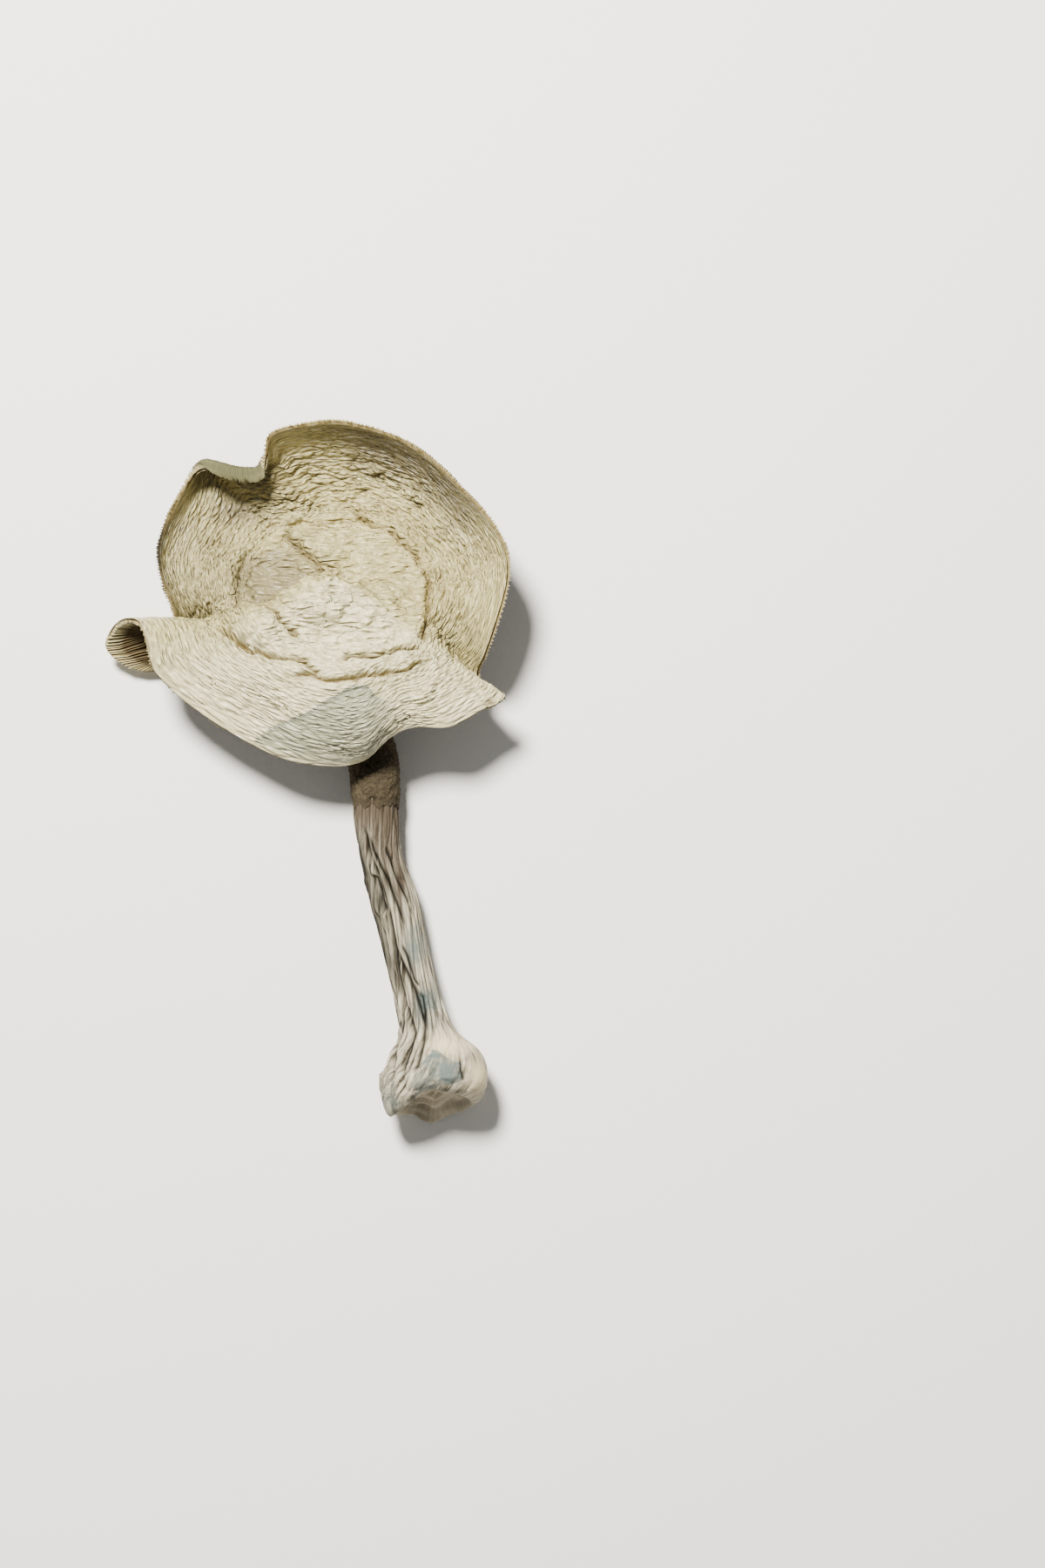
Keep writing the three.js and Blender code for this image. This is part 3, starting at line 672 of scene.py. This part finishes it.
# ---- Stem and foot --------------------------------------------------------------------------
# A fibrous shaft that shrank into lengthwise cords as it dried, with a swollen foot cut slanting
# and sunk in at its end. Buff at the core, brown near the cap from spore dust and partly painted shade of the
# cap, blue-grey where it was bruised.
STEM = np.array([  # x, y, z, half width, half height
    (7, 31, 9.6, 3.4, 3.4), (7.5, 27, 7.2, 3.8, 3.8), (8.3, 21, 6.3, 3.9, 3.7), (9.3, 14.5, 6.3, 3.8, 3.6),
    (10.4, 7, 6.3, 3.7, 3.4), (11.5, 0, 6.2, 3.6, 3.4), (12.1, -8.5, 6, 3.8, 3.4), (13, -15, 5.8, 3.5, 3.2),
    (15.1, -22, 5.9, 4, 3.4), (17.2, -31, 6.4, 3.7, 3.4), (19.2, -39, 7.2, 3.9, 3.7),
    (20.5, -44.5, 7.9, 4.8, 4.7), (21.1, -47.6, 8.3, 7, 6.9), (21.7, -50.6, 8.6, 9, 8.4),
    (21.8, -53.6, 8.7, 9.1, 8.8), (21.6, -56.6, 8.6, 8.8, 8.2), (20.6, -61.2, 8.1, 8.1, 7.2),
])
STEM_COLUMNS = 240
STEM_ROWS = 330
FACE_ROWS = 22
STEM_LENGTH = 98                   # mm along the stem's line
STEM_RADIUS = 4.2                  # mm, for the way round it on the flow map
SPIRAL = 0.16                      # the cords turn this much per millimetre along the shaft
LIP_TOP, LIP_FOOT = 0.888, 1.0     # shares of the stem's line where the foot's end face starts
HOLLOW = 3.0                       # mm that the end face is sunk in


def stem_value(column, share):
    """Catmull-Rom through one column of the stem's stations."""
    last = len(STEM) - 1
    k = np.clip(share, 0, 1) * last
    i = np.clip(np.floor(k).astype(int), 0, last - 1)
    t = k - i
    v0, v1 = STEM[np.maximum(i - 1, 0), column], STEM[i, column]
    v2, v3 = STEM[i + 1, column], STEM[np.minimum(i + 2, last), column]
    m1 = (v2 - v0) / np.where(i > 0, 2, 1)
    m2 = (v3 - v1) / np.where(i + 2 <= last, 2, 1)
    return ((2 * t**3 - 3 * t**2 + 1) * v1 + (t**3 - 2 * t**2 + t) * m1
            + (3 * t**2 - 2 * t**3) * v2 + (t**3 - t**2) * m2)


def stem_axis(share):
    return np.stack([stem_value(0, share), stem_value(1, share), stem_value(2, share)], -1)


def stem_point(share, angle, swell_by):
    """A point on the stem's skin, moved out by swell_by mm; angle 90 degrees is the upper side."""
    along = unit(stem_axis(np.minimum(share + 0.01, 1)) - stem_axis(np.maximum(share - 0.01, 0)))
    side = unit(np.cross(np.array([0.0, 0.0, 1.0]), along))
    up = np.cross(along, side)
    wide = (stem_value(3, share) + swell_by)[..., None]
    high = (stem_value(4, share) + swell_by)[..., None]
    return stem_axis(share) - side * wide * np.cos(angle)[..., None] + up * high * np.sin(angle)[..., None]


# Clefts between the cords, on the upper side: line, width, depth.
CORDS = [
    ([(9.4, -8.3), (10.3, -10.8), (11, -13.9), (12.3, -17.2), (13.5, -20.6), (14.3, -24.2), (15.1, -28.4),
      (15.6, -31.6), (16.1, -34.8), (16.6, -37.8), (17.2, -40.7)], 0.45, 1.1),
    ([(11.5, -17), (12.2, -19.5), (12.9, -21.8), (13.7, -24.4)], 0.7, 1.6),
    ([(11, -10), (11.7, -13.3), (13.2, -16.4), (14.4, -18.6), (16, -22.8), (17.6, -27.5)], 0.35, 0.7),
    ([(13.5, -12.2), (14.6, -14.7), (15.4, -17.2), (17.4, -21.4), (18.8, -25.3)], 0.3, 0.5),
    ([(13.3, -25.7), (14.1, -29.7), (15.2, -34.6), (15.8, -39.7), (16, -42.9), (15.6, -45)], 0.35, 0.8),
    ([(15.2, -29.2), (16.5, -32.2), (18.1, -35.4), (19.2, -37.8), (20.1, -40.7), (21.2, -44.2)], 0.4, 0.9),
    ([(16.5, -35.9), (17.2, -39.7), (18.1, -42.3), (18.8, -44.5), (18.1, -47.2), (17.1, -49.8),
      (16.8, -52.5)], 0.4, 0.8),
    ([(16.9, -41), (16.4, -44.5), (15.6, -47.2), (15.2, -49.8), (14.9, -52.5)], 0.35, 0.7),
    ([(19, -37.2), (20.3, -38.4), (20.7, -40.7), (20.8, -43.1), (20.4, -46.1), (19.5, -49.8), (18.1, -51.4)],
     0.35, 0.6),
    ([(16.4, -29), (17.6, -31.5), (18.7, -35.3), (19.8, -36.8)], 0.3, 0.4),
    ([(26.7, -48.6), (26.7, -50.5), (27, -52.6)], 0.3, 0.2),
]
# The blue-grey patch on the foot, and the blue line round the lobe to its right.
BLUE_PATCH = [(22.1, -46.9), (24, -48), (26.4, -49.3), (27, -52.2), (25.4, -52.8), (23.2, -53.3),
              (19.5, -54.9), (18.1, -53.8), (19.2, -50.6), (20.5, -48.8), (22.1, -46.9)]
BLUE_LINE = [(26.9, -48.8), (28.6, -48.2), (30.2, -50), (31, -51.5)]

cords_wide = crumple(31, 2.6, 7.0)
cords_fine = crumple(32, 1.1, 7.0)
pucker = crumple(33, 1.6, 1.6)


row_share = np.linspace(0, 1, STEM_ROWS + 1)
angle_line = np.linspace(0, 2 * np.pi, STEM_COLUMNS + 1)
angle, row_share = np.meshgrid(angle_line, row_share)
# The foot is cut slanting: its upper lip is short on the right and runs down to the left.
left = np.cos(angle)
upper_lip = LIP_TOP + 0.097 * smooth(0.05, 0.95, left) + 0.03 * smooth(0.4, 1, -left)
lower_lip = LIP_FOOT - 0.008 * np.clip((left - 0.6) / 0.4, 0, 1)**2 - 0.055 * smooth(0, 1.1, -left)
lip = lower_lip + (upper_lip - lower_lip) * smooth(-0.35, 0.35, np.sin(angle))
lip += 0.004 * (np.sin(3 * angle + 1) - 1) + 0.003 * np.sin(7 * angle)
share = row_share * lip
base = stem_point(share, angle, np.zeros(share.shape))
x, y = base[..., 0], base[..., 1]
top_side = smooth(-0.15, 0.35, np.sin(angle))
length_mm = share * STEM_LENGTH
arc_mm = angle * STEM_RADIUS + SPIRAL * length_mm
foot = smooth(-45, -50, y)
shaft = 1 - foot
wide_cord = read_tile(cords_wide, length_mm, arc_mm)
fine_cord = read_tile(cords_fine, length_mm, arc_mm)
puckers = read_tile(pucker, x * 1.2, y)
calm = 1 - 0.85 * np.maximum(spot(x, y, 24.5, -46.5, 3.5, 2.5), spot(x, y, 29.5, -51, 2.2, 3)) * top_side
stem_height = shaft * (0.42 * (swell(wide_cord) - 0.6) + 0.13 * (swell(fine_cord) - 0.6))
stem_height += foot * calm * (0.35 * (swell(wide_cord) - 0.6) + 0.12 * (swell(puckers) - 0.6))
# Painted shade: the clefts between the cords are painted near black through the cleft mark.
stem_cleft = np.maximum(0.4 * np.exp(-np.abs(fine_cord) / 0.2), 0.6 * np.exp(-np.abs(wide_cord) / 0.12))
stem_cleft = stem_cleft * (1 - 0.4 * foot) * calm
# The shaft is painted near black along its left flank, from about y -6 to -42.
left_side = smooth(0.5, 0.95, np.cos(angle)) * smooth(-6, -14, y) * (1 - smooth(-32, -42, y))
stem_cleft = np.maximum(stem_cleft, 0.96 * left_side)
stem_cleft = np.maximum(stem_cleft, spot(x, y, 12.7, -20.8, 1.1, 4.2) * top_side)
# Each cleft below is sunk into the shape and painted dark along its line as painted shade.
for points, width, depth in CORDS:
    distance, side, part = to_line(points, x, y)
    ends = smooth(0, 0.15, part) * (1 - smooth(0.85, 1, part))
    stem_height -= top_side * depth * ends * np.exp(-(distance / width)**2)
    stem_height += top_side * 0.35 * depth * ends * np.exp(-((distance - 1.6 * width) / (1.1 * width))**2)
    stem_cleft = np.maximum(stem_cleft, top_side * ends * np.exp(-(distance / (0.8 * width))**2))
rough_x = x + 0.35 * read_tile(patchy, x * 5, y * 5)
rough_y = y + 0.35 * read_tile(patchy, x * 5 + 40, y * 5)
patch = inside(BLUE_PATCH, rough_x, rough_y) * top_side
patch_edge = to_line(BLUE_PATCH, rough_x, rough_y)[0]
stem_height += top_side * 0.5 * np.where(patch > 0, smooth(0, 1.2, patch_edge), 0)
right_lobe = spot(x, y, 29.2, -51.5, 2.4, 3.6) * top_side
stem_height += 0.9 * right_lobe
rounded_in = 1.6 * (1 - np.sqrt(1 - np.clip((row_share - 0.94) / 0.06, 0, 1)**2))
stem_points = stem_point(share, angle, stem_height * (1 - smooth(0.985, 1, row_share)) - rounded_in)
stem_points[..., 2] = np.maximum(stem_points[..., 2], 0.02)
stem_points[:, -1] = stem_points[:, 0]

# The end face: from its lip inwards to a hollow.
face_share = np.linspace(0, 1, FACE_ROWS + 1)[1:]
face_angle, face_share = np.meshgrid(angle_line, face_share)
lip_points = stem_points[-1]
face_middle = lip_points.mean(0)
inward = unit(stem_axis(np.array([0.9]))[0] - stem_axis(np.array([1.0]))[0])
hollow = HOLLOW * (1 - (1 - face_share)**2.2) + 0.2 * read_tile(pucker, face_angle * 2.5, face_share * 8)
hollow = hollow * smooth(0, 0.25, face_share)
face = lip_points[None] + (face_middle - lip_points)[None] * (face_share**1.15)[..., None]
face = face + inward * hollow[..., None]
face[-1] = face[-1].mean(0)
face[:, -1] = face[:, 0]

blue = np.maximum(0.8 * patch, patch * np.exp(-(patch_edge / 0.6)**2))
blue = np.maximum(blue, 0.8 * patch * spot(x, y, 26, -51.8, 1.6, 1.4))
blue = np.maximum(blue, 0.85 * spot(x, y, 20.8, -39.5, 2.6, 5) * top_side)
blue = np.maximum(blue, 0.9 * spot(x, y, 18.9, -29.5, 2.2, 5.5) * top_side)
blue = np.maximum(blue, 0.75 * spot(x, y, 14.6, -57, 1.8, 4.5) * smooth(-0.6, -0.1, np.sin(angle)))
blue = np.maximum(blue, 0.6 * np.exp(-(to_line(BLUE_LINE, x, y)[0] / 0.35)**2))
blue = np.maximum(blue, 0.5 * (1 - top_side) * smooth(0, -12, y) * shaft)
# Brown near the cap: spore dust, and partly painted shade of the cap over the neck.
brown = smooth(-18, -5, y) * 0.9 + 0.6 * spot(x, y, 14.5, -15, 2.6, 5)
brown = np.clip(brown + 0.8 * spot(x, y, 16.3, -19.5, 0.9, 3), 0, 1)
white = np.maximum(spot(x, y, 24.5, -46.3, 3.2, 1.8), spot(x, y, 29.3, -52, 1.6, 2.8)) * top_side
sunk = np.concatenate([np.zeros(share.shape), 0.7 + 0.3 * face_share])
bare_face = np.zeros(face_share.shape)
# The sunk end face is painted darker in blotches, and darkest just under its upper lip as painted shade of
# the lip.
face_cleft = 0.2 + 0.35 * read_tile(patchy, face_angle * 6, face_share * 12)
under_lip = np.exp(-((face_share - 0.12) / 0.12)**2) * smooth(0.2, 0.8, np.sin(face_angle))
face_cleft = face_cleft + 0.5 * under_lip
all_points = np.concatenate([stem_points, face])
# The head of the stem closes to a point inside the cap.
all_points[0] = all_points[0].mean(0)
stem_flow = np.concatenate([np.stack([length_mm, arc_mm], -1),
                            np.stack([STEM_LENGTH + face_share * 8, face_angle * STEM_RADIUS], -1)]) * MM
stem_sheet = lay_grid("stem_sheet", STEM_COLUMNS, all_points.shape[0] - 1)
shape_grid(stem_sheet, all_points, stem_flow, {
    "cleft": np.concatenate([stem_cleft, face_cleft]), "blue": np.concatenate([blue, bare_face]),
    "brown": np.concatenate([brown, bare_face]), "white": np.concatenate([white, bare_face]), "sunk": sunk})
stem = weld([stem_sheet], "stem_and_foot")

# Dried stem fibre: matt, silky along the cords; the bruises go blue-grey. The fibres are drawn
# 0.42 mm across, coarser than real ones, so that they show, and 14 times as long; stains are 4 mm.
stem_material, tree = new_material("dried stem fibre")
flow_map = add_node(tree, "ShaderNodeUVMap", {"uv_map": "flow"})
place = add_node(tree, "ShaderNodeTexCoord")
mark = {}
for name in ("cleft", "blue", "brown", "white", "sunk"):
    mark[name] = add_node(tree, "ShaderNodeAttribute", {"attribute_name": name}).outputs["Fac"]
stretched = add_node(tree, "ShaderNodeMapping", {"Scale": (0.07, 1, 1)}, {"Vector": flow_map.outputs["UV"]})
fibre = add_node(tree, "ShaderNodeTexNoise", {"Scale": 1 / 0.00042, "Detail": 3, "Roughness": 0.6},
                 {"Vector": stretched.outputs["Vector"]})
mottle = add_node(tree, "ShaderNodeTexNoise", {"Scale": 1 / 0.004, "Detail": 5, "Roughness": 0.65},
                  {"Vector": place.outputs["Object"]})
strands = add_node(tree, "ShaderNodeMapRange", {"From Min": 0.36, "From Max": 0.62},
                   {"Value": fibre.outputs["Fac"]})
buff = add_node(tree, "ShaderNodeMix", {"data_type": "RGBA", 6: linear("#3a352a"), 7: linear("#bdb59f")},
                {0: strands.outputs["Result"]})
blue_share = add_node(tree, "ShaderNodeMapRange", {"From Min": 0.25, "From Max": 0.7},
                      {"Value": mottle.outputs["Fac"]})
blue_amount = add_node(tree, "ShaderNodeMath", {"operation": "MULTIPLY_ADD", 2: -0.12, "use_clamp": True},
                       {0: mark["blue"], 1: blue_share.outputs["Result"]})
blue_more = add_node(tree, "ShaderNodeMath", {"operation": "MULTIPLY", 1: 2.0, "use_clamp": True},
                     {0: blue_amount.outputs["Value"]})
stem_colour = buff.outputs[2]
# Tints in order: pale lumps on the foot, brown near the cap (spore dust and partly painted shade), the
# blue-grey bruises, the sunk end face, then near black through the cleft mark: painted shade in the clefts
# and under the foot's lip, and the darkened left flank.
for amount, tint in (
        (mark["white"], "#d6c7a2"), (mark["brown"], "#3d3226"), (blue_more.outputs["Value"], "#5f6a67"),
        (mark["sunk"], "#b5aa92"), (mark["cleft"], "#050403")):
    tinted = add_node(tree, "ShaderNodeMix", {"data_type": "RGBA", 7: linear(tint)},
                      {0: amount, 6: stem_colour})
    stem_colour = tinted.outputs[2]
bump = add_node(tree, "ShaderNodeBump", {"Strength": 0.6, "Distance": 0.00015},
                {"Height": fibre.outputs["Fac"]})
shader = add_node(tree, "ShaderNodeBsdfPrincipled", {"Roughness": 0.65, "Specular IOR Level": 0.12},
                  {"Base Color": stem_colour, "Normal": bump.outputs["Normal"]})
add_node(tree, "ShaderNodeOutputMaterial", links={"Surface": shader.outputs["BSDF"]})
stem.data.materials.append(stem_material)
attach(stem, "root")
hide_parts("stem")

# ---- Veil -----------------------------------------------------------------------------------
# The torn skirt that once joined the cap's rim to the stem, dried into a dark crumpled sleeve
# that clings to the neck. Its lower edge is ragged, with a small hole above it.
VEIL_TOP, VEIL_FOOT = 0.245, 0.349     # shares of the stem's line
VEIL_ROUND, VEIL_LENGTH = 25.6, 13     # mm round it and along it, on the flow map
VEIL_HOLE = (11.5, -4.2)
VEIL_COLUMNS = 200
VEIL_OUTER_ROWS = 90
VEIL_INNER_ROWS = 8

veil_crumple = crumple(41, 2.0, 1.5)
veil_fine = crumple(42, 0.9, 1.3)
veil_angle = np.linspace(0, 2 * np.pi, VEIL_COLUMNS + 1)


def veil_rows(shares, outer):
    """Points, flow map and clefts of the sleeve's outer or inner face."""
    angle, part = np.meshgrid(veil_angle, shares)
    round_mm = angle / (2 * np.pi) * VEIL_ROUND
    hem = 0.008 * read_tile(patchy, round_mm * 1.6, np.full(round_mm.shape, 3.0))
    hem += 0.006 * read_tile(patchy, round_mm * 6, np.full(round_mm.shape, 30.0))
    share = VEIL_TOP + (VEIL_FOOT + hem - VEIL_TOP) * part
    if outer:
        shifted_mm = round_mm + 1.5 * read_tile(slow, round_mm, part * 12)
        fold = read_tile(veil_crumple, shifted_mm, part * VEIL_LENGTH)
        fine = read_tile(veil_fine, round_mm, part * VEIL_LENGTH)
        bulge = 0.5 * np.exp(-((angle - np.pi) / 0.9)**2) * np.exp(-((part - 0.45) / 0.3)**2)
        stand = 0.38 + 0.22 * (swell(fold, 0.6) - 0.5) + 0.2 * (swell(fine) - 0.5) + bulge
        flat_x, flat_y = np.moveaxis(stem_point(share, angle, np.zeros(share.shape))[..., :2], -1, 0)
        hole = spot(flat_x, flat_y, *VEIL_HOLE, 0.6, 0.4) * (np.sin(angle) > 0)
        stand = stand * (1 - 0.8 * hole)
        stand = 0.1 + np.maximum(stand, 0.05) * (1 - smooth(0.86, 1, part) * 0.75)
        # Painted shade: the clefts between the folds and the hole are painted near black.
        cleft = np.maximum(0.5 * np.exp(-np.abs(fold) / 0.12), 0.6 * np.exp(-np.abs(fine) / 0.2))
        cleft = np.maximum(cleft, hole)
    else:
        # The inner face, against the stem, is painted near black all over: painted shade.
        stand = np.full(part.shape, 0.02)
        cleft = np.ones(part.shape)
    points = stem_point(share, angle, stand)
    points[:, -1] = points[:, 0]
    return points, np.stack([round_mm, part * VEIL_LENGTH], -1) * MM, cleft


outer, outer_flow, outer_cleft = veil_rows(np.linspace(0, 1, VEIL_OUTER_ROWS), True)
inner, inner_flow, inner_cleft = veil_rows(np.linspace(1, 0, VEIL_INNER_ROWS), False)
veil_sheet = lay_grid("veil_sheet", VEIL_COLUMNS, VEIL_OUTER_ROWS + VEIL_INNER_ROWS)
shape_grid(veil_sheet, np.concatenate([outer, inner, outer[:1]]),
           np.concatenate([outer_flow, inner_flow, outer_flow[:1]]),
           {"cleft": np.concatenate([outer_cleft, inner_cleft, outer_cleft[:1]])})
veil = weld([veil_sheet], "veil_sleeve")

# Dried veil tissue: a thin matt film dusted brown-black with spores, in 2.5 mm clouds.
veil_material, tree = new_material("dried veil tissue")
place = add_node(tree, "ShaderNodeTexCoord")
cleft = add_node(tree, "ShaderNodeAttribute", {"attribute_name": "cleft"})
dust = add_node(tree, "ShaderNodeTexNoise", {"Scale": 1 / 0.0025, "Detail": 5, "Roughness": 0.65},
                {"Vector": place.outputs["Object"]})
tissue = add_node(tree, "ShaderNodeMix", {"data_type": "RGBA", 6: linear("#28231b"), 7: linear("#544b3b")},
                  {0: dust.outputs["Fac"]})
# Painted shade: near black in the folds' clefts, the hole and all over the inner face.
lined = add_node(tree, "ShaderNodeMix", {"data_type": "RGBA", 7: linear("#080603")},
                 {0: cleft.outputs["Fac"], 6: tissue.outputs[2]})
bump = add_node(tree, "ShaderNodeBump", {"Strength": 0.5, "Distance": 0.00015},
                {"Height": dust.outputs["Fac"]})
shader = add_node(tree, "ShaderNodeBsdfPrincipled", {"Roughness": 0.85, "Specular IOR Level": 0.05},
                  {"Base Color": lined.outputs[2], "Normal": bump.outputs["Normal"]})
add_node(tree, "ShaderNodeOutputMaterial", links={"Surface": shader.outputs["BSDF"]})
veil.data.materials.append(veil_material)
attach(veil, "root")
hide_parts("veil")
